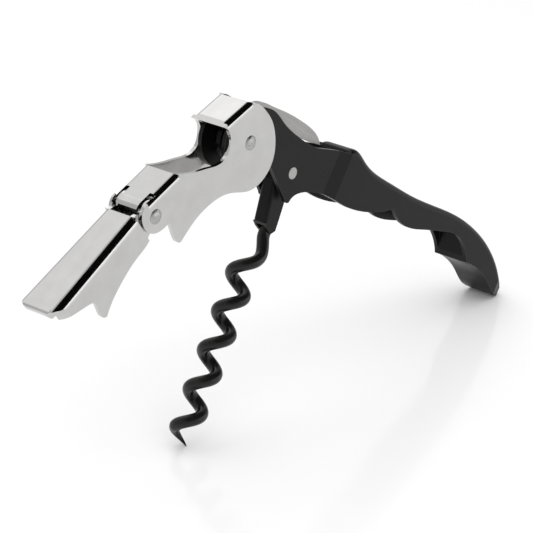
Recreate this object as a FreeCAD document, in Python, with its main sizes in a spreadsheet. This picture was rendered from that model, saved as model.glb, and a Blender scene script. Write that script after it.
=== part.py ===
# Waiter's corkscrew with a two-step lever, standing open on the worm tip and the tail.
# Every part is drawn straight, about its own hinge, and then swung into the open pose.
import FreeCAD, Part
import os
from math import cos, pi, sin
from FreeCAD import Placement, Rotation, Vector

doc = FreeCAD.newDocument("corkscrew")
sheet = doc.addObject("Spreadsheet::Sheet", "size")

DRIVING = {
    "metal": 0.9,
    "rear_width": 9.6,
    "front_width": 7.6,
    "lever_width": 9.5,
    "lower_start_width": 8.9,
    "lower_end_width": 10.8,
    "handle_slope": 36.2,
    "lever_slope": 14.4,
    "knee_slope": 31.8,
    "worm_slope": 31.7,
    "lever_rivet_height": 67.03,
    "worm_rivet_along": 18.7,
    "worm_rivet_drop": 0.7,
    "knee_reach": 30.2,
    "rivet_diameter": 2.4,
    "rivet_head": 3.3,
    "rivet_dome": 0.5,
    "worm_pin_diameter": 2.8,
    "blade_thickness": 1.2,
    "wire_diameter": 2.8,
    "worm_diameter": 7.4,
    "worm_pitch": 9.0,
    "worm_length": 63.55,
    "bracket_width": 3.6,
    "bracket_metal": 0.6,
    "hinge_play": 0.04,
    "side_play": 0.07,
    "rivet_play": 0.03,
}

for row, (alias, value) in enumerate(DRIVING.items(), start=1):
    sheet.set("A%d" % row, alias)
    sheet.set("B%d" % row, str(value))
    sheet.setAlias("B%d" % row, alias)
doc.recompute()


def dim(alias):
    return float(sheet.get(alias))


METAL = dim("metal")
SIDE_PLAY = dim("side_play")
REAR = dim("rear_width")
FRONT = dim("front_width")
LEVER = dim("lever_width")
LEVER_INNER = LEVER - 2 * METAL
EARS = LEVER_INNER - 2 * SIDE_PLAY
WIDE = 60.0

# Frame: the origin is on the floor, half way along the object, in its middle plane.
MIDDLE_FROM_LEVER_RIVET = 16.2
lever_axis = Vector(-MIDDLE_FROM_LEVER_RIVET, 0, dim("lever_rivet_height"))


def swing(angle):
    """Turn about the cross axis: a positive angle dips the +X end."""
    return Rotation(Vector(0, 1, 0), angle)


HANDLE_FRAME = Placement(lever_axis, swing(dim("handle_slope")))
UPPER_FRAME = Placement(lever_axis, swing(-dim("lever_slope")))
knee_axis = UPPER_FRAME.multVec(Vector(-dim("knee_reach"), 0, 0))
LOWER_FRAME = Placement(knee_axis, swing(-dim("knee_slope")))
WORM_PIN = Vector(dim("worm_rivet_along"), 0, -dim("worm_rivet_drop"))
worm_axis = HANDLE_FRAME.multVec(WORM_PIN)
WORM_FRAME = Placement(worm_axis, swing(dim("worm_slope")))

SIDE = Rotation(Vector(1, 0, 0), 90)
PLAN = Rotation()
ORIGIN = Vector()


# ------------------------------------------------------------------ outlines
def line(*points):
    return ("line", points)


def curve(*points):
    return ("curve", points)


def arc(*points):
    return ("arc", points)


def outline(*runs):
    """Edges of a closed outline; gaps between its runs are closed with straight edges."""
    edges = []
    ends = [(run[1][0], run[1][-1]) for run in runs]
    for number, (kind, points) in enumerate(runs):
        places = [Vector(x, y, 0) for x, y in points]
        if kind == "curve":
            spline = Part.BSplineCurve()
            spline.interpolate(places)
            edges.append(spline)
        elif kind == "arc":
            edges.append(Part.Arc(*places))
        else:
            edges += [Part.LineSegment(a, b) for a, b in zip(places, places[1:])]
        leave = Vector(*ends[number][1], 0)
        enter = Vector(*ends[(number + 1) % len(runs)][0], 0)
        if leave.distanceToPoint(enter) > 1e-6:
            edges.append(Part.LineSegment(leave, enter))
    return edges


def plan_outline(stations):
    """A shape seen from above, even on both sides, from (x, width) stations."""
    near = [(x, -width / 2) for x, width in stations]
    far = [(x, width / 2) for x, width in reversed(stations)]
    return outline(line(*(near + far)))


# ------------------------------------------------------------------ features
def set_size(feature, name, size):
    """Bind a size to the sheet where it is an expression, or set it where it is plain."""
    if isinstance(size, str):
        feature.setExpression(name, size)
    else:
        setattr(feature, name, size)


def plate(name, edges, width, turn=SIDE, middle=ORIGIN):
    """A flat outline with a thickness centred on its own plane."""
    sketch = doc.addObject("Sketcher::SketchObject", name + "_outline")
    sketch.Placement = Placement(middle, turn)
    sketch.addGeometry(edges, False)
    solid = doc.addObject("Part::Extrusion", name)
    solid.Base = sketch
    solid.DirMode = "Normal"
    solid.Solid = True
    solid.Symmetric = True
    set_size(solid, "LengthFwd", width)
    return solid


def bar(name, diameter, width, x=0.0, z=0.0, y=0.0):
    """A round bar across the object, centred at y."""
    solid = doc.addObject("Part::Cylinder", name)
    set_size(solid, "Radius", "(%s) / 2" % diameter)
    set_size(solid, "Height", width)
    doc.recompute()
    solid.Placement = Placement(Vector(x, y + float(solid.Height) / 2, z), SIDE)
    return solid


def block(name, low, high):
    solid = doc.addObject("Part::Box", name)
    solid.Length, solid.Width, solid.Height = [b - a for a, b in zip(low, high)]
    solid.Placement = Placement(Vector(*low), PLAN)
    return solid


def common(name, shapes):
    feature = doc.addObject("Part::MultiCommon", name)
    feature.Shapes = shapes
    return feature


def fuse(name, shapes):
    feature = doc.addObject("Part::MultiFuse", name)
    feature.Shapes = shapes
    return feature


def cut(name, base, tools):
    for number, tool in enumerate(tools):
        feature = doc.addObject("Part::Cut", "%s_%d" % (name, number))
        feature.Base = base
        feature.Tool = tool
        base = feature
    return base


def round_edges(name, base, radius, wanted):
    """Round the edges that the test picks out."""
    doc.recompute()
    feature = doc.addObject("Part::Fillet", name)
    feature.Base = base
    numbered = enumerate(base.Shape.Edges, start=1)
    feature.Edges = [(number, radius, radius) for number, edge in numbered if wanted(edge)]
    return feature


def bend_cutters(name, radius, start, end):
    """Cutters that round both long corners of a straight web, given its near corner's two ends."""
    cutters = []
    for label, side in (("near", -1), ("far", 1)):
        ends = (start, end) if side < 0 else (end, start)
        first, last = [Vector(x, side * abs(y), z) for x, y, z in ends]
        turn = Rotation(Vector(0, side, 0), Vector(0, 0, 1), last - first, "ZXY")
        sketch = doc.addObject("Sketcher::SketchObject", "%s_%s_corner" % (name, label))
        sketch.Placement = Placement(first, turn)
        sketch.addGeometry(corner_profile(radius), False)
        cutter = doc.addObject("Part::Extrusion", "%s_%s" % (name, label))
        cutter.Base = sketch
        cutter.DirMode = "Normal"
        cutter.Solid = True
        cutter.LengthFwd = (last - first).Length
        cutters.append(cutter)
    return cutters


def corner_profile(radius, spare=3.0):
    """What is cut off a square corner at the origin to round it; +X is outward and +Y is up."""
    half_turn = radius * (1 - cos(pi / 4))
    return outline(
        arc((-radius, 0), (-half_turn, -half_turn), (0, -radius)),
        line((0, -radius), (spare, -radius), (spare, spare), (-radius, spare), (-radius, 0)))


def swept_bends(name, radius, spine, half_width):
    """Cutters that round both long corners of a web that curves in side view."""
    cutters = []
    for label, side in (("near", -1), ("far", 1)):
        path = Part.BSplineCurve()
        path.interpolate([Vector(x, side * half_width, z) for x, z in spine])
        start, along = path.value(0), path.tangent(0)[0]
        up = along.cross(Vector(0, 1, 0))
        turn = Placement(start, Rotation(Vector(0, side, 0), up, along * side, "YXZ"))
        profile = Part.Wire([piece.toShape() for piece in corner_profile(radius)])
        profile.Placement = turn
        cutter = doc.addObject("Part::Feature", "%s_%s" % (name, label))
        cutter.Shape = Part.Wire([path.toShape()]).makePipeShell([profile], True, False)
        cutters.append(cutter)
    return cutters


NODES = []


def finish(node, source, frame):
    """Name a finished sub-part and swing it into the open pose."""
    part = doc.addObject("Part::Refine", node)
    part.Source = source
    part.Label = node
    part.Placement = frame
    NODES.append(part)


def finish_shape(node, shape, frame):
    """The same for a part made with Part's own functions."""
    part = doc.addObject("Part::Feature", node)
    part.Shape = shape
    part.Label = node
    part.Placement = frame
    NODES.append(part)


# ------------------------------------------------------------------ handle
# Drawn with the lever rivet at the origin and the tail along +X.
JOGGLE_START = 31.4
JOGGLE_END = 34.9
WEB_START = 34.0
TAIL_SHUT = 93.5
HANDLE_SPINE = ((WEB_START, 10.2), (36.6, 11.2), (41.0, 10.1), (53.2, 9.0), (64.1, 9.2), (74.8, 10.2),
                (83.0, 10.9), (93.3, 10.4), (104.0, 7.4), (112.2, 1.7))


def handle_side():
    """The whole handle from the side, with its finger scallops."""
    return outline(
        curve((-2.3, 6.77), (0.4, 8.1), (4.6, 8.8), (9.5, 7.6), (15.4, 6.8), (22.9, 6.9), (27.6, 8.1),
              (33.8, 9.5)),
        curve(*HANDLE_SPINE),
        arc((112.2, 1.7), (113.3, 0.2), (112.0, -0.7)),
        curve((112.0, -0.7), (107.6, -0.1), (103.6, 1.5), (99.0, 2.5), (TAIL_SHUT, 2.3)),
        curve((TAIL_SHUT, 2.3), (89.4, 5.6), (85.4, 6.8), (80.5, 6.1), (72.0, 3.8), (64.0, 2.1), (60.0, 2.7),
              (57.4, 4.1)),
        curve((57.4, 4.1), (51.3, 1.3), (45.5, -0.4), (39.5, -1.2), (34.5, -1.2), (JOGGLE_START, -1.3),
              (27.0, -2.3), (24.0, -3.5), (22.3, -4.7), (21.3, -6.7)),
        arc((21.3, -6.7), (20.5, -7.1), (19.4, -6.6)),
        line((19.4, -6.6), (11.4, -2.4)),
        curve((11.4, -2.4), (8.6, -2.0), (6.0, -3.89)),
        arc((6.0, -3.89), (-3.0, -6.49), (-2.3, 6.77)))


def handle_body():
    flank = plate("handle_flank", handle_side(), "size.rear_width")
    plan = plate("handle_plan", plan_outline([
        (-20.0, FRONT), (JOGGLE_START, FRONT), (JOGGLE_END, REAR), (109.5, REAR), (112.4, REAR - 1.6),
        (113.4, REAR - 4.2)]), WIDE, PLAN)
    shell = common("handle_shell", [flank, plan])

    bends = swept_bends("handle_bend", 1.35, HANDLE_SPINE, REAR / 2)
    room = plate("handle_room_side", outline(
        line((-20.0, 30.0), (-20.0, -30.0), (TAIL_SHUT, -30.0), (TAIL_SHUT - 0.9, 3.2), (90.0, 8.6)),
        curve((90.0, 9.8), (82.5, 10.0), (74.8, 9.3), (64.1, 8.3), (53.2, 8.1), (41.0, 9.2), (36.6, 10.3),
              (WEB_START, 9.3)),
        line((WEB_START, 9.3), (33.9, 9.3), (33.9, 30.0))), WIDE)
    room_plan = plate("handle_room_plan", plan_outline([
        (-20.0, FRONT - 2 * METAL), (JOGGLE_START + 0.5, FRONT - 2 * METAL),
        (JOGGLE_END + 0.5, REAR - 2 * METAL), (TAIL_SHUT, REAR - 2 * METAL)]), WIDE, PLAN)
    hollow = common("handle_hollow", [room, room_plan])
    lever_hole = bar("lever_hole", "size.rivet_diameter + 2 * size.hinge_play", WIDE)
    worm_hole = bar("worm_hole", "size.worm_pin_diameter", WIDE, WORM_PIN.x, WORM_PIN.z)
    finish("handle_body", cut("handle_cut", shell, bends + [hollow, lever_hole, worm_hole]), HANDLE_FRAME)


# ------------------------------------------------------------------ rivets and sleeves
def rivet(node, frame, diameter, grip, x=0.0, z=0.0):
    """A plain shank with a low domed head at each end."""
    radius = dim("rivet_head") / 2
    dome = dim("rivet_dome")
    ball = (radius ** 2 + dome ** 2) / (2 * dome)
    shank = bar(node + "_shank", diameter, grip, x, z)
    heads = []
    for side in (-1, 1):
        face = side * grip / 2
        sphere = doc.addObject("Part::Sphere", "%s_ball_%s" % (node, "far" if side > 0 else "near"))
        sphere.Radius = ball
        sphere.Placement = Placement(Vector(x, face - side * (ball - dome), z), PLAN)
        slab = bar("%s_slab_%s" % (node, "far" if side > 0 else "near"), "size.rivet_head", dome + 1.0, x, z,
                   face + side * (dome + 1.0) / 2)
        heads.append(common("%s_head_%s" % (node, "far" if side > 0 else "near"), [sphere, slab]))
    finish(node, fuse(node + "_whole", [shank] + heads), frame)


def ring(node, frame, outer, inner, width, places, x=0.0, z=0.0):
    """Short tubes round a rivet, one at each place across the object."""
    tubes = []
    for number, y in enumerate(places):
        solid = bar("%s_outer_%d" % (node, number), outer, width, x, z, y)
        hole = bar("%s_inner_%d" % (node, number), inner, width + 1.0, x, z, y)
        tubes.append(cut("%s_tube_%d" % (node, number), solid, [hole]))
    source = tubes[0] if len(tubes) == 1 else fuse(node + "_pair", tubes)
    finish(node, source, frame)


def worm_pin():
    """The worm's rivet is dressed flush, because the lever's cheeks sweep over its ends."""
    width = FRONT + 0.06
    pin = bar("worm_pin_bar", "size.worm_pin_diameter", width, WORM_PIN.x, WORM_PIN.z)
    crowned = round_edges("worm_pin_crown", pin, 0.18, lambda edge: edge.Curve.TypeId == "Part::GeomCircle")
    finish("worm_rivet", crowned, HANDLE_FRAME)


def small_parts():
    knife_gap = (FRONT - 2 * METAL - dim("blade_thickness")) / 2
    spacer = knife_gap - SIDE_PLAY
    middle = (dim("blade_thickness") + knife_gap) / 2
    rivet("lever_rivet", HANDLE_FRAME, "size.rivet_diameter", LEVER + 2 * dim("rivet_play"))
    worm_pin()
    ring("knife_spacers", HANDLE_FRAME, "6.0", "size.rivet_diameter", spacer, (-middle, middle))
    ring("worm_sleeve", HANDLE_FRAME, "size.worm_pin_diameter + 1.6", "size.worm_pin_diameter",
         dim("bracket_width") - 2 * dim("bracket_metal") - 2 * SIDE_PLAY, (0.0,), WORM_PIN.x, WORM_PIN.z)
    worm_gap = (FRONT - 2 * METAL - dim("bracket_width")) / 2
    beside = (dim("bracket_width") + worm_gap) / 2
    ring("worm_spacers", HANDLE_FRAME, "5.0", "size.worm_pin_diameter", worm_gap - 2 * SIDE_PLAY,
         (-beside, beside), WORM_PIN.x, WORM_PIN.z)
    rivet("knee_rivet", LOWER_FRAME, "size.rivet_diameter", LEVER + 2 * dim("rivet_play"))
    ring("knee_sleeve", LOWER_FRAME, "size.rivet_diameter + 1.8", "size.rivet_diameter",
         EARS - 2 * METAL - 2 * SIDE_PLAY, (0.0,))


# ------------------------------------------------------------------ lever, upper step
# Drawn with the lever rivet at the origin and the knee along -X.
WEB_END = -31.0
WEB_RISE = -22.0
SLOT_END = -28.6
SLOT_BITE = 0.4


def upper_side():
    return outline(
        curve((2.4, 8.6), (4.7, 6.9), (6.5, 3.9), (7.5, 0.8), (7.55, -1.6), (6.8, -5.0), (4.5, -8.4),
              (2.0, -9.9), (-0.6, -10.5), (-3.6, -10.1), (-7.6, -8.0), (-10.6, -6.8), (-14.5, -6.4),
              (-19.0, -7.0), (-22.5, -8.3), (-25.1, -9.5)),
        curve((-25.1, -9.5), (-25.8, -9.3), (-26.6, -7.6), (-26.8, -5.4), (-27.2, -3.4)),
        curve((-27.2, -3.4), (-29.6, -3.8), (-32.2, -3.0), (-33.9, -0.6), (-33.8, 2.2), (WEB_END, 4.0)),
        line((WEB_END, 4.0), (WEB_RISE, 5.3)),
        curve((WEB_RISE, 5.3), (-17.2, 3.0), (-13.2, 1.6), (-9.6, 0.6), (-7.0, 1.4), (-5.7, 3.2), (-5.2, 5.2),
              (-5.8, 6.9)),
        line((-5.8, 6.9), (-6.5, 7.7), (-4.9, 8.0), (2.4, 8.6)))


def lever_upper():
    flank = plate("upper_flank", upper_side(), "size.lever_width")
    half = LEVER / 2
    bends = bend_cutters("bridge_bend", 1.4, (2.9, half, 8.64), (-5.5, half, 7.95))
    bends += bend_cutters("web_bend", 1.4, (WEB_RISE + 0.3, half, 5.34), (WEB_END - 0.6, half, 3.91))
    room = plate("upper_room", outline(line(
        (20.0, -30.0), (20.0, 30.0), (2.5, 30.0), (2.5, 7.7), (-4.8, 7.1), (-6.0, 6.1), (-8.0, 6.1),
        (-8.0, 30.0), (WEB_RISE + 0.1, 30.0), (WEB_RISE + 0.1, 4.4), (WEB_END - 0.1, 3.1),
        (-50.0, 3.1), (-50.0, -30.0))), LEVER_INNER)
    ear_slots = []
    for name, side in (("near", -1), ("far", 1)):
        low, high = sorted((side * (EARS / 2 - METAL - SIDE_PLAY), side * (LEVER_INNER / 2 + SLOT_BITE)))
        ear_slots.append(block("ear_slot_%s" % name, (-36.0, low, 3.0), (SLOT_END, high, 8.0)))
    lever_hole = bar("upper_lever_hole", "size.rivet_diameter + 2 * size.hinge_play", WIDE)
    knee_hole = bar("upper_knee_hole", "size.rivet_diameter", WIDE, -dim("knee_reach"))
    cutters = bends + [room] + ear_slots + [lever_hole, knee_hole]
    finish("lever_upper", cut("upper_cut", flank, cutters), UPPER_FRAME)


# ------------------------------------------------------------------ lever, lower step
# Drawn with the knee at the origin and the shovel end along -X.
SHOVEL_END = -32.0
SHOULDER = -4.0
WEB_FOOT = (SHOULDER, 4.15)
WEB_HEEL = (-30.6, 6.2)


def lower_side():
    return outline(
        arc((-2.6, -2.63), (3.7, 0.0), (-2.0, 3.11)),
        curve((-2.0, 3.11), (-3.0, 3.7), WEB_FOOT),
        line(WEB_FOOT, WEB_HEEL),
        curve(WEB_HEEL, (SHOVEL_END, 5.9), (-31.8, 4.6), (-30.0, 2.9), (-25.2, 0.6), (-22.9, -0.6)),
        curve((-22.9, -0.6), (-22.7, -3.0), (-22.8, -5.6), (-21.9, -6.4)),
        curve((-21.9, -6.4), (-17.7, -4.6), (-14.1, -3.8), (-9.3, -3.3), (-4.6, -3.3), (-2.6, -2.63)))


def lower_width(x, inset=0.0):
    """The lower step flares evenly from its shoulder to its end."""
    first = dim("lower_start_width")
    share = (SHOULDER - x) / (SHOULDER - SHOVEL_END)
    return first + share * (dim("lower_end_width") - first) - 2 * inset


def lever_lower():
    flank = plate("lower_flank", lower_side(), WIDE)
    plan = plate("lower_plan", plan_outline([
        (10.0, EARS), (SHOULDER, EARS), (SHOULDER, lower_width(SHOULDER)), (-28.6, lower_width(-28.6)),
        (-29.9, lower_width(-29.9, 0.3)), (-31.0, lower_width(-31.0, 0.9)),
        (-31.8, lower_width(-31.8, 1.8)), (-32.2, lower_width(-32.2, 2.8))]), WIDE, PLAN)
    shell = common("lower_shell", [flank, plan])
    (foot_x, foot_z), (heel_x, heel_z) = WEB_FOOT, WEB_HEEL
    bends = bend_cutters("lower_bend", 1.7, (foot_x, lower_width(foot_x) / 2, foot_z),
                         (heel_x - 2.5, lower_width(heel_x - 2.5) / 2, heel_z + 0.19))
    room = plate("lower_room", outline(line(
        (20.0, -30.0), (20.0, 30.0), (foot_x, 30.0), (foot_x, foot_z - METAL), (heel_x, heel_z - METAL),
        (-31.5, 4.5), (-50.0, 3.0), (-50.0, -30.0))), WIDE)
    room_plan = plate("lower_room_plan", plan_outline([
        (20.0, EARS - 2 * METAL), (SHOULDER - 0.6, EARS - 2 * METAL),
        (SHOULDER - 1.2, lower_width(SHOULDER - 1.2, METAL)), (-40.0, lower_width(-40.0, METAL))]), WIDE, PLAN)
    hollow = common("lower_hollow", [room, room_plan])
    knee_hole = bar("lower_knee_hole", "size.rivet_diameter + 2 * size.hinge_play", WIDE)
    finish("lever_lower", cut("lower_cut", shell, bends + [hollow, knee_hole]), LOWER_FRAME)


# ------------------------------------------------------------------ knife
def knife_blade():
    """The foil cutter: a tang round the lever rivet and a hooked blade lying along the handle."""
    side = outline(
        curve((-4.4, 2.4), (-3.6, 5.2), (-0.6, 7.2), (2.4, 9.3), (7.1, 10.1), (12.1, 10.6), (17.4, 10.8),
              (22.3, 10.6), (25.6, 9.9), (27.9, 8.5)),
        curve((27.9, 8.5), (22.5, 7.7), (17.0, 6.9), (12.5, 4.9), (9.0, 1.9), (4.8, -1.4)),
        arc((4.8, -1.4), (0.0, -5.0), (-4.4, 2.4)))
    slab = plate("knife_slab", side, "size.blade_thickness")
    hole = bar("knife_hole", "size.rivet_diameter + 2 * size.hinge_play", WIDE)
    finish("knife_blade", cut("knife_cut", slab, [hole]), HANDLE_FRAME)


# ------------------------------------------------------------------ worm
# Drawn with the worm's rivet at the origin and the worm hanging along -Z.
SHANK_X = 2.6
SHANK_TOP = -3.4
NECK_END = -14.2


def worm_bracket():
    """A strip folded round the flattened neck of the wire, with its two flanks on the worm's rivet."""
    width = dim("bracket_width")
    inside = width / 2 - dim("bracket_metal")
    flank = plate("bracket_flank", outline(
        arc((-2.55, -0.9), (0.4, 2.7), (2.7, -0.4)),
        curve((2.7, -0.4), (3.1, -5.0), (3.5, -9.5), (3.7, -13.0)),
        line((3.7, -13.0), (2.6, -13.9), (0.8, -13.2), (-0.6, -12.3), (-2.55, -2.8), (-2.55, -0.9))), width)
    bends = bend_cutters("bracket_bend", 0.8, (-2.55, width / 2, -2.7), (-0.6, width / 2, -12.3))
    room = plate("bracket_room", outline(line(
        (-30.0, 20.0), (20.0, 20.0), (20.0, -30.0), (0.8, -30.0), (0.0, -12.3), (-1.8, -2.8),
        (-2.2, -1.6), (-30.0, -1.6))), 2 * inside)
    hole = bar("bracket_hole", "size.worm_pin_diameter + 2 * size.hinge_play", WIDE)
    finish("worm_bracket", cut("bracket_cut", flank, bends + [room, hole]), WORM_FRAME)


def worm_wire():
    """A flattened neck, a shank beside the axis, and a right-handed helix that ends in a point."""
    radius = (dim("worm_diameter") - dim("wire_diameter")) / 2
    pitch = dim("worm_pitch")
    thick = dim("wire_diameter") / 2
    tip = -dim("worm_length")
    coil_top, taper_top = -20.6, tip + 3.6

    def angle(z):
        return 2 * pi * (z - tip) / pitch

    def on_coil(z):
        return Vector(radius * cos(angle(z)), radius * sin(angle(z)), z)

    def tangent(z):
        return Vector(-sin(angle(z)), cos(angle(z)), pitch / (2 * pi * radius))

    def circle_at(place, direction, size):
        return Part.Wire([Part.Circle(place, direction, size).toShape()])

    def helix(bottom, top):
        path = Part.makeHelix(pitch, top - bottom, radius)
        path.Placement = Placement(Vector(0, 0, bottom), Rotation(Vector(0, 0, 1), angle(bottom) * 180 / pi))
        return path

    half = dim("bracket_width") / 2 - dim("bracket_metal") - 0.1
    neck = Part.makeCylinder(thick, SHANK_TOP - NECK_END, Vector(SHANK_X, 0, NECK_END)).common(
        Part.makeBox(2 * thick, 2 * half, 20, Vector(SHANK_X - thick, -half, NECK_END - 1)))
    turn_out = Part.BSplineCurve()
    turn_out.interpolate(
        [Vector(SHANK_X, 0, NECK_END), Vector(2.55, -0.55, -16.2), Vector(2.2, -1.55, -18.6), on_coil(coil_top)],
        InitialTangent=Vector(0, 0, -1), FinalTangent=tangent(coil_top) * -1)
    swing_out = Part.Wire([turn_out.toShape()]).makePipeShell(
        [circle_at(Vector(SHANK_X, 0, NECK_END), Vector(0, 0, 1), thick)], True, False)
    coil = Part.Wire(helix(taper_top, coil_top).Edges).makePipeShell(
        [circle_at(on_coil(coil_top), tangent(coil_top), thick)], True, True)
    point = Part.Wire(helix(tip, taper_top).Edges).makePipeShell(
        [circle_at(on_coil(tip), tangent(tip), 0.12), circle_at(on_coil(taper_top), tangent(taper_top), thick)],
        True, True)
    whole = neck.fuse([swing_out, coil, point])
    finish_shape("worm_wire", whole.removeSplitter(), WORM_FRAME)


handle_body()
small_parts()
lever_upper()
lever_lower()
knife_blade()
worm_bracket()
worm_wire()
doc.recompute()

for item in doc.Objects:
    if "Invalid" in item.State or "Error" in item.State:
        raise RuntimeError("%s failed: %s" % (item.Name, item.State))
for part in NODES:
    if part.Shape.isNull() or not part.Shape.isValid() or not part.Shape.Solids:
        raise RuntimeError("%s has no sound solid" % part.Label)

os.makedirs("parts", exist_ok=True)
for part in NODES:
    part.Shape.exportStep("parts/%s.step" % part.Label)
    box = part.Shape.BoundBox
    print("%-14s %8.1f mm3  solids %d  x %6.1f %6.1f  y %5.1f %5.1f  z %5.1f %5.1f" % (
        part.Label, part.Shape.Volume, len(part.Shape.Solids), box.XMin, box.XMax, box.YMin, box.YMax,
        box.ZMin, box.ZMax))
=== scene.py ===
"""Looks of the waiter's corkscrew: materials, fine edges, studio floor, lights and camera."""
from math import cos, radians, sin

import bpy
from mathutils import Matrix, Vector


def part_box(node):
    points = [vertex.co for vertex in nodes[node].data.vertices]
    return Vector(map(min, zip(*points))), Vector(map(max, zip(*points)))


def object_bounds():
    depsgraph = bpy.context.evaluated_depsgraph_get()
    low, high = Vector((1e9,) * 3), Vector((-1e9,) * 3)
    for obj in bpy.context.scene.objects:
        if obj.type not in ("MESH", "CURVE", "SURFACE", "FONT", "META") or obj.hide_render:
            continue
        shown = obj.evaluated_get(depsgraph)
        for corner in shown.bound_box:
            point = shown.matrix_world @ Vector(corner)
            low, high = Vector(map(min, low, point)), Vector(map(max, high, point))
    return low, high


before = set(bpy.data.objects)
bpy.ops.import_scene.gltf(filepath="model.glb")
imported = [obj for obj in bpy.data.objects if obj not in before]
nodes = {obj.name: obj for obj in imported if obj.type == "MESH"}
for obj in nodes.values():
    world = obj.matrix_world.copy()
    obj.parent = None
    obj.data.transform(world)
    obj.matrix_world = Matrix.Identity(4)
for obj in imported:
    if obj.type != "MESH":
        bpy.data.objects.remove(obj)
cad_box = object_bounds()
MM = 0.001

BLADE_SLOPE = 36.2      # degrees, how the folded blade lies below level
HAIR_SLOPE = -20.0      # degrees, the run of the wiping marks on the chrome
TANG_SHADE_REACH = 7.9        # mm from the lever rivet to where the painted shade on the blade's heel ends
TANG_SHADE_FADE = 0.6         # mm over which the painted shade on the heel fades to the steel's colour
EDGE_WEAR_REACH = 0.22  # mm, how far the worn edge of the enamel reads
FLAT_MATCH = 0.995      # rounded and true normals agree this well on a flat
SHARP_MATCH = 0.9       # and this badly on a sharp edge
BEVEL_ANGLE = 35        # degrees, edges sharper than this are rounded
FLOOR_HALF = 6.0        # m
FLOOR_DROP = 0.02       # mm, the floor lies just under the feet
FLAG_TONE = 0.004       # base colour of the black cards


# ------------------------------------------------------------------ materials
class Look:
    """A small wrapper round a material's node tree, to keep the recipes below short."""

    def __init__(self, name):
        self.material = bpy.data.materials.new(name)
        self.material.use_nodes = True
        self.tree = self.material.node_tree
        self.shader = self.tree.nodes["Principled BSDF"]
        self.place = self.add("ShaderNodeTexCoord").outputs["Object"]

    def add(self, kind, **settings):
        node = self.tree.nodes.new(kind)
        for name, value in settings.items():
            setattr(node, name, value)
        return node

    def join(self, output, socket):
        self.tree.links.new(output, socket)

    def set(self, **values):
        for name, value in values.items():
            self.shader.inputs[name.replace("_", " ")].default_value = value

    def along(self, slope, length):
        """Object coordinates drawn out along a part that lies at this slope, for streaked patterns."""
        mapping = self.add("ShaderNodeMapping", vector_type="TEXTURE")
        self.join(self.place, mapping.inputs["Vector"])
        mapping.inputs["Rotation"].default_value = (0.0, radians(slope), 0.0)
        mapping.inputs["Scale"].default_value = (length, 1.0, 1.0)
        return mapping.outputs["Vector"]

    def noise(self, scale, detail=4.0, place=None, roughness=0.55):
        node = self.add("ShaderNodeTexNoise")
        node.inputs["Scale"].default_value = scale
        node.inputs["Detail"].default_value = detail
        node.inputs["Roughness"].default_value = roughness
        self.join(place or self.place, node.inputs["Vector"])
        return node.outputs["Fac"]

    def span(self, value, low, high, out_low=0.0, out_high=1.0):
        node = self.add("ShaderNodeMapRange")
        node.inputs["From Min"].default_value = low
        node.inputs["From Max"].default_value = high
        node.inputs["To Min"].default_value = out_low
        node.inputs["To Max"].default_value = out_high
        self.join(value, node.inputs["Value"])
        return node.outputs["Result"]

    def blend(self, share, first, second):
        node = self.add("ShaderNodeMix", data_type="RGBA")
        self.join(share, node.inputs["Factor"])
        for socket, value in ((node.inputs["A"], first), (node.inputs["B"], second)):
            if isinstance(value, tuple):
                socket.default_value = (*value, 1.0)
            else:
                self.join(value, socket)
        return node.outputs["Result"]

    def math(self, operation, first, second):
        node = self.add("ShaderNodeMath", operation=operation)
        for socket, value in zip(node.inputs, (first, second)):
            if isinstance(value, float):
                socket.default_value = value
            else:
                self.join(value, socket)
        return node.outputs["Value"]

    def edges(self, reach):
        """1 on sharp outside edges, 0 on flats: where handling wears a finish."""
        bevel = self.add("ShaderNodeBevel", samples=6)
        bevel.inputs["Radius"].default_value = reach
        geometry = self.add("ShaderNodeNewGeometry")
        dot = self.add("ShaderNodeVectorMath", operation="DOT_PRODUCT")
        self.join(bevel.outputs["Normal"], dot.inputs[0])
        self.join(geometry.outputs["Normal"], dot.inputs[1])
        return self.span(dot.outputs["Value"], FLAT_MATCH, SHARP_MATCH)

    def bump(self, height, strength, distance):
        node = self.add("ShaderNodeBump")
        node.inputs["Strength"].default_value = strength
        node.inputs["Distance"].default_value = distance
        self.join(height, node.inputs["Height"])
        self.join(node.outputs["Normal"], self.shader.inputs["Normal"])


def black_enamel(name, gloss=0.30, tone=0.005):
    """Baked black enamel on pressed steel: fine orange peel, soft cloudy gloss, slightly thin on edges."""
    look = Look(name)
    cloud = look.noise(160.0, 3.0)
    peel = look.noise(2600.0, 2.0)
    colour = look.blend(look.span(cloud, 0.35, 0.7), (tone, tone, tone * 0.98),
                        (tone * 1.5, tone * 1.46, tone * 1.42))
    colour = look.blend(look.edges(EDGE_WEAR_REACH * MM), colour, (0.05, 0.049, 0.047))
    look.join(colour, look.shader.inputs["Base Color"])
    rough = look.span(cloud, 0.3, 0.7, gloss - 0.04, gloss + 0.05)
    look.join(rough, look.shader.inputs["Roughness"])
    look.set(Specular_IOR_Level=0.16)
    look.bump(peel, 0.12, 0.02 * MM)
    return look.material


def chrome_plate(name):
    """Bright chrome over stamped steel: faint rolling waves and hairline wiping marks."""
    look = Look(name)
    wave = look.noise(90.0, 2.0)
    hairs = look.noise(1500.0, 5.0, look.along(HAIR_SLOPE, 9.0))
    cloud = look.noise(240.0, 4.0)
    colour = look.blend(look.span(cloud, 0.3, 0.75), (0.52, 0.515, 0.51), (0.57, 0.567, 0.562))
    look.join(colour, look.shader.inputs["Base Color"])
    rough = look.span(hairs, 0.3, 0.75, 0.07, 0.15)
    look.join(rough, look.shader.inputs["Roughness"])
    look.set(Metallic=1.0)
    look.bump(look.math("ADD", look.math("MULTIPLY", hairs, 0.12), wave), 0.10, 0.05 * MM)
    return look.material


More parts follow.
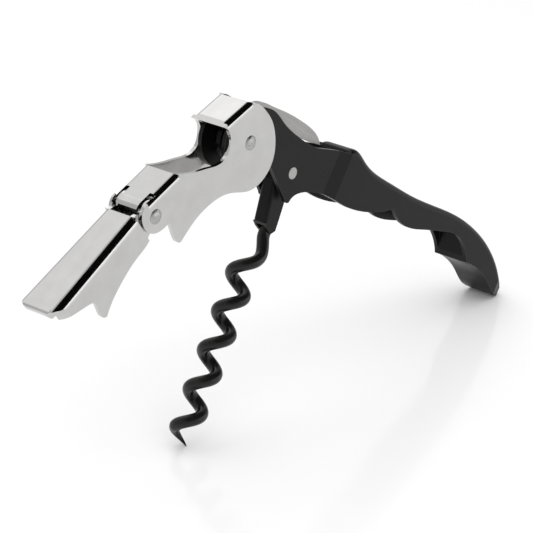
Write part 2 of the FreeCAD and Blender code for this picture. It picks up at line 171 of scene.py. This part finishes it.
def ground_steel(name, slope, tone=0.36):
    """Satin steel, grinding lines along the part, and painted shade: a near-black heel round its rivet."""
    look = Look(name)
    lines = look.noise(1900.0, 6.0, look.along(slope, 22.0), 0.7)
    cloud = look.noise(120.0, 2.0)
    bright = look.blend(look.span(lines, 0.3, 0.7), (tone * 0.90, tone * 0.885, tone * 0.86),
                        (tone * 1.08, tone * 1.07, tone * 1.05))
    flat = look.add("ShaderNodeVectorMath", operation="MULTIPLY")
    look.join(look.place, flat.inputs[0])
    flat.inputs[1].default_value = (1.0, 0.0, 1.0)
    away = look.add("ShaderNodeVectorMath", operation="DISTANCE")
    look.join(flat.outputs["Vector"], away.inputs[0])
    rivet = (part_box("lever_rivet")[0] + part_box("lever_rivet")[1]) / 2
    away.inputs[1].default_value = (rivet.x, 0.0, rivet.z)
    # Painted shade: within this reach of the lever rivet the heel sits inside the handle's nose, so it is
    # painted near-black, fading to the steel colour beyond
    past_tang_shade = look.span(away.outputs["Value"], TANG_SHADE_REACH * MM, (TANG_SHADE_REACH + TANG_SHADE_FADE) * MM)
    look.join(look.blend(past_tang_shade, (0.012, 0.012, 0.012), bright), look.shader.inputs["Base Color"])
    rough = look.span(look.math("ADD", lines, cloud), 0.7, 1.4, 0.24, 0.40)
    look.join(rough, look.shader.inputs["Roughness"])
    look.set(Metallic=1.0)
    look.bump(lines, 0.15, 0.015 * MM)
    return look.material


def peened_steel(name, tone=0.42):
    """Rivet steel with the fine hammered texture of a set head."""
    look = Look(name)
    dents = look.noise(1300.0, 3.0)
    speck = look.noise(4200.0, 2.0)
    colour = look.blend(look.span(speck, 0.35, 0.7), (tone * 0.82, tone * 0.82, tone * 0.81),
                        (tone * 1.12, tone * 1.12, tone * 1.11))
    look.join(colour, look.shader.inputs["Base Color"])
    rough = look.span(dents, 0.3, 0.7, 0.22, 0.38)
    look.join(rough, look.shader.inputs["Roughness"])
    look.set(Metallic=1.0)
    look.bump(look.math("ADD", dents, look.math("MULTIPLY", speck, 0.3)), 0.55, 0.09 * MM)
    return look.material


def coated_wire(name):
    """Smooth black low-friction coating on the worm, with a fine dry texture."""
    look = Look(name)
    grain = look.noise(3200.0, 3.0)
    cloud = look.noise(260.0, 3.0)
    colour = look.blend(look.span(cloud, 0.35, 0.7), (0.005, 0.005, 0.0048), (0.010, 0.0097, 0.0093))
    look.join(colour, look.shader.inputs["Base Color"])
    rough = look.span(cloud, 0.3, 0.7, 0.24, 0.34)
    look.join(rough, look.shader.inputs["Roughness"])
    look.set(Specular_IOR_Level=0.3)
    look.bump(grain, 0.10, 0.015 * MM)
    return look.material


def paint_all():
    """Gives every CAD node its own finish, in the slots that it came with."""
    enamel = black_enamel("satin_black_enamel")
    chrome = chrome_plate("bright_chrome")
    rivet = peened_steel("set_rivet_steel")
    # Spacers and sleeves: the rivet steel at a near-black tone, far darker than the rivets themselves
    spacer = peened_steel("near_black_spacer_steel", 0.03)
    blade = ground_steel("satin_blade_steel", BLADE_SLOPE)
    bracket = black_enamel("bracket_black", 0.36)
    worm = coated_wire("worm_coating")
    finishes = {
        "handle_body": enamel, "lever_upper": chrome, "lever_lower": chrome, "lever_rivet": rivet,
        "knee_rivet": rivet, "worm_rivet": rivet, "knife_spacers": spacer, "worm_sleeve": spacer,
        "worm_spacers": spacer, "knee_sleeve": spacer, "knife_blade": blade,
        "worm_bracket": bracket, "worm_wire": worm,
    }
    for name, material in finishes.items():
        slots = nodes[name].material_slots
        for slot in slots:
            slot.material = material
        if not len(slots):
            nodes[name].data.materials.append(material)


# ------------------------------------------------------------------ studio
def studio_floor():
    """A wide pale floor with a slight polish."""
    half = FLOOR_HALF
    mesh = bpy.data.meshes.new("floor")
    corners = [(-half, -half), (half, -half), (half, half), (-half, half)]
    mesh.from_pydata([(x, y, -FLOOR_DROP * MM) for x, y in corners], [], [(0, 1, 2, 3)])
    floor = bpy.data.objects.new("floor", mesh)
    bpy.context.collection.objects.link(floor)
    look = Look("pale_floor")
    haze = look.noise(3.0, 2.0)
    colour = look.blend(look.span(haze, 0.3, 0.7), (0.93, 0.93, 0.93), (0.95, 0.95, 0.95))
    look.join(colour, look.shader.inputs["Base Color"])
    look.set(Roughness=0.12, Specular_IOR_Level=0.35)
    mesh.materials.append(look.material)


def area_light(name, place, target, size, power, mirrored=True):
    """A soft box at this place, in metres and watts; mirrored says if the chrome shows it."""
    lamp = bpy.data.lights.new(name, "AREA")
    lamp.shape = "RECTANGLE"
    lamp.size, lamp.size_y = size
    lamp.energy = power
    holder = bpy.data.objects.new(name, lamp)
    bpy.context.collection.objects.link(holder)
    holder.location = place
    holder.visible_glossy = mirrored
    holder.rotation_euler = (Vector(target) - Vector(place)).to_track_quat("-Z", "Y").to_euler()


def reflected_card(name, corners):
    """A flat card beside the set, seen only in reflections, as a photographer's flag is."""
    mesh = bpy.data.meshes.new(name)
    mesh.from_pydata(corners, [], [(0, 1, 2, 3)])
    card = bpy.data.objects.new(name, mesh)
    bpy.context.collection.objects.link(card)
    look = Look(name)
    grain = look.noise(8.0, 2.0)
    dark, light = (FLAG_TONE,) * 3, (FLAG_TONE * 1.5,) * 3
    look.join(look.blend(grain, dark, light), look.shader.inputs["Base Color"])
    look.set(Roughness=1.0, Specular_IOR_Level=0.0)
    mesh.materials.append(look.material)
    card.visible_camera = False
    card.visible_diffuse = False
    card.visible_shadow = False


def flags():
    """Three black cards that give the chrome its dark bands: in front, overhead and to the right."""
    side, near, far, back, low, top = 1.6, -1.1, 0.28, 0.1, 0.38, 1.2
    cards = {
        "flag_front": [(-side, near, low), (side, near, low), (side, near, top), (-side, near, top)],
        "flag_above": [(-side, near, top), (side, near, top), (side, far, top), (-side, far, top)],
        "flag_right": [(side, near, low), (side, back, low), (side, back, top), (side, near, top)],
    }
    for name, corners in cards.items():
        reflected_card(name, corners)


def studio_light():
    """A pale world, soft boxes above, behind and in front, and the flags between them."""
    world = bpy.data.worlds.new("studio")
    bpy.context.scene.world = world
    world.use_nodes = True
    background = world.node_tree.nodes["Background"]
    background.inputs["Color"].default_value = (1.0, 1.0, 1.0, 1.0)
    background.inputs["Strength"].default_value = 0.70
    middle = (cad_box[0] + cad_box[1]) / 2
    area_light("overhead", (-0.10, 0.0, 1.0), middle, (1.4, 1.2), 5.4, False)
    area_light("back_box", (0.15, 0.75, 0.80), middle, (1.1, 0.65), 1.0)
    area_light("back_bright", (0.42, 0.60, 0.80), middle, (0.40, 0.50), 0.26)
    area_light("front_box", (-0.35, -0.75, 0.55), middle, (0.5, 0.35), 0.9, False)
    area_light("low_strip", (0.75, -1.0, 0.21), middle, (1.5, 0.38), 1.8)
    flags()
    view = bpy.context.scene.view_settings
    view.view_transform = "Standard"
    view.look = "None"


def camera():
    """Long lens from the worm side, a little above the object."""
    turn, tilt, roll = radians(48.5), radians(23.9), radians(0.4)
    distance = 0.576
    focal_mm, sensor_mm = 177.2, 36.0
    nearest, farthest = 0.01, 50.0
    target = Vector((-6.1, 0.0, 33.8)) * MM
    back = Vector((-sin(turn) * cos(tilt), -cos(turn) * cos(tilt), sin(tilt)))
    right = Vector((cos(turn), -sin(turn), 0.0))
    up = back.cross(right)
    lens_right = right * cos(roll) - up * sin(roll)
    lens_up = right * sin(roll) + up * cos(roll)
    data = bpy.data.cameras.new("camera")
    data.lens = focal_mm
    data.sensor_width = sensor_mm
    data.clip_start = nearest
    data.clip_end = farthest
    holder = bpy.data.objects.new("camera", data)
    bpy.context.collection.objects.link(holder)
    axes = Matrix((lens_right, lens_up, back)).transposed()
    holder.matrix_world = Matrix.Translation(target + back * distance) @ axes.to_4x4()
    bpy.context.scene.camera = holder


def smooth_edges():
    """Rounds the cut edges of the pressed parts a little, so that they catch the light."""
    widths = {"handle_body": 0.12, "lever_upper": 0.12, "lever_lower": 0.12, "knife_blade": 0.08,
              "worm_bracket": 0.10}
    for name, width in widths.items():
        bevel = nodes[name].modifiers.new("edge", "BEVEL")
        bevel.width = width * MM
        bevel.segments = 2
        bevel.limit_method = "ANGLE"
        bevel.angle_limit = radians(BEVEL_ANGLE)
        bevel.use_clamp_overlap = True


paint_all()
smooth_edges()
studio_floor()
studio_light()
camera()
